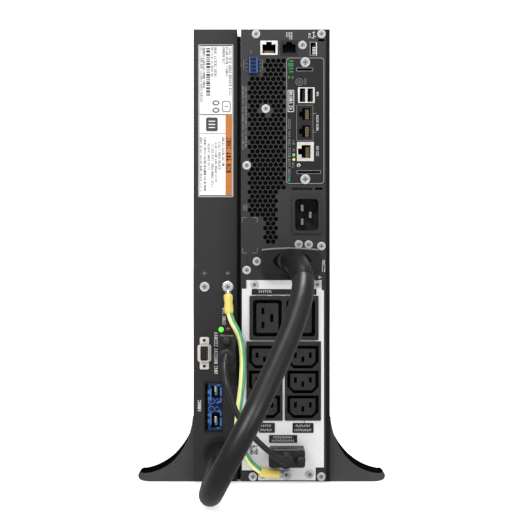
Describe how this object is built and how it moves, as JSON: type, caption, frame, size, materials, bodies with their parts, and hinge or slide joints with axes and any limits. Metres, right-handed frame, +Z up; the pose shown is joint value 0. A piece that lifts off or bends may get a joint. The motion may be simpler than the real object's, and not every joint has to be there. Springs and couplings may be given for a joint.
{
  "type": "tower uninterruptible power supply with battery pack",
  "caption": "Two-unit uninterruptible power supply and a one-unit battery pack standing side by side on flared feet, cabled at the rear.",
  "frame": {"origin": "centre of the floor footprint, at the underside of the feet", "axes": "+X to the right seen from the rear, +Y from the rear connectors to the front bezels, +Z up"},
  "size_m": [0.2396, 0.7771, 0.434],
  "materials": {
    "dark_panel": "fine textured black powder coat",
    "pack_panel": "fine textured black powder coat",
    "steel": "galvanised sheet",
    "light_panel": "light grey paint",
    "black_plastic": "moulded black",
    "bezel_plastic": "textured black",
    "foot_plastic": "dark grey moulded",
    "card_face": "satin black",
    "board": "green solder mask",
    "bright_metal": "bright nickel",
    "brass": "plated",
    "blue_plastic": "blue moulded",
    "lamp": "translucent lens",
    "aluminium": "extruded",
    "screen": "glossy",
    "cable_jacket": "soft black jacket",
    "ground_jacket": "green and yellow jacket",
    "lug_metal": "tinned copper with yellow sleeve",
    "battery_case": "moulded grey",
    "rotor_plastic": "moulded black"
  },
  "bodies": {
    "chassis": {"ups_tray": "dark_panel", "ups_cover": "dark_panel", "ups_rear_panel": "dark_panel", "vent_grille": "dark_panel", "outlet_panel": "light_panel", "c19_outlet_block": "black_plastic", "c13_outlet_blocks": "black_plastic", "power_contacts": "brass", "c20_inlet": "black_plastic", "shielded_jack": "bright_metal", "serial_jack": "black_plastic", "usb_port": "bright_metal", "card_bay": "steel", "fan_frames": "black_plastic", "power_board": "board", "heatsinks": "aluminium", "power_magnetics": "battery_case", "capacitors": "black_plastic", "ups_screws": "bright_metal", "pack_tray": "pack_panel", "pack_cover": "pack_panel", "pack_rear_panel": "pack_panel", "pack_cells": "battery_case", "pack_data_port": "bright_metal", "pack_dc_socket": "black_plastic", "pack_dc_insert": "blue_plastic", "pack_leds": "lamp", "pack_grommet": "black_plastic", "pack_screws": "bright_metal", "rear_feet": "foot_plastic", "front_feet": "foot_plastic", "stand_plates": "steel", "tie_brackets": "steel", "dc_cable": "cable_jacket", "dc_plug": "black_plastic", "comm_cable": "cable_jacket", "comm_plugs": "black_plastic", "ground_wire": "ground_jacket", "ground_lugs": "lug_metal"},
    "network_card": {"card_faceplate": "card_face", "card_board": "board", "card_usb_ports": "bright_metal", "card_data_jacks": "black_plastic", "card_network_jack": "bright_metal", "card_leds": "lamp", "card_screws": "bright_metal"},
    "reset_button": {"card_reset_button": "rotor_plastic"},
    "off_plug": {"epo_plug": "blue_plastic"},
    "rotor_upper": {"fan_rotor_upper": "rotor_plastic"},
    "rotor_lower": {"fan_rotor_lower": "rotor_plastic"},
    "bezel": {"ups_bezel": "bezel_plastic"},
    "battery": {"ups_battery_module": "battery_case"},
    "pack_front": {"pack_bezel": "bezel_plastic"},
    "display": {"display_housing": "bezel_plastic", "display_screen": "screen"},
    "power_key": {"power_button": "rotor_plastic"},
    "up_key": {"up_button": "rotor_plastic"},
    "down_key": {"down_button": "rotor_plastic"},
    "enter_key": {"enter_button": "rotor_plastic"},
    "escape_key": {"escape_button": "rotor_plastic"}
  },
  "joints": [
    {"name": "fan_upper_spin", "type": "hinge", "parent": "chassis", "child": "rotor_upper", "pos_m": [0.02265, -0.134, 0.28], "axis": [0, 1, 0], "continuous": true},
    {"name": "fan_lower_spin", "type": "hinge", "parent": "chassis", "child": "rotor_lower", "pos_m": [0.02265, -0.134, 0.19], "axis": [0, 1, 0], "continuous": true},
    {"name": "card_pull", "type": "slide", "parent": "chassis", "child": "network_card", "axis": [0, -1, 0], "range_m": [0, 0.14]},
    {"name": "reset_press", "type": "slide", "parent": "network_card", "child": "reset_button", "axis": [0, 1, 0], "range_m": [0, 0.0008], "stiffness_N_per_m": 400},
    {"name": "off_plug_pull", "type": "slide", "parent": "chassis", "child": "off_plug", "axis": [0, -1, 0], "range_m": [0, 0.014]},
    {"name": "bezel_pull", "type": "slide", "parent": "chassis", "child": "bezel", "axis": [0, 1, 0], "range_m": [0, 0.3]},
    {"name": "battery_pull", "type": "slide", "parent": "chassis", "child": "battery", "axis": [0, 1, 0], "range_m": [0, 0.24]},
    {"name": "pack_bezel_pull", "type": "slide", "parent": "chassis", "child": "pack_front", "axis": [0, 1, 0], "range_m": [0, 0.06]},
    {"name": "display_turn", "type": "hinge", "parent": "bezel", "child": "display", "pos_m": [0.02265, 0.294, 0.3], "axis": [0, 1, 0], "range_deg": [0, 90]},
    {"name": "power_press", "type": "slide", "parent": "display", "child": "power_key", "axis": [0, -1, 0], "range_m": [0, 0.0008], "stiffness_N_per_m": 400},
    {"name": "up_press", "type": "slide", "parent": "display", "child": "up_key", "axis": [0, -1, 0], "range_m": [0, 0.0008], "stiffness_N_per_m": 400},
    {"name": "down_press", "type": "slide", "parent": "display", "child": "down_key", "axis": [0, -1, 0], "range_m": [0, 0.0008], "stiffness_N_per_m": 400},
    {"name": "enter_press", "type": "slide", "parent": "display", "child": "enter_key", "axis": [0, -1, 0], "range_m": [0, 0.0008], "stiffness_N_per_m": 400},
    {"name": "escape_press", "type": "slide", "parent": "display", "child": "escape_key", "axis": [0, -1, 0], "range_m": [0, 0.0008], "stiffness_N_per_m": 400}
  ],
  "couplings": [
    {"joint": "battery_pull", "follows": "bezel_pull", "ratio": 0.8}
  ]
}
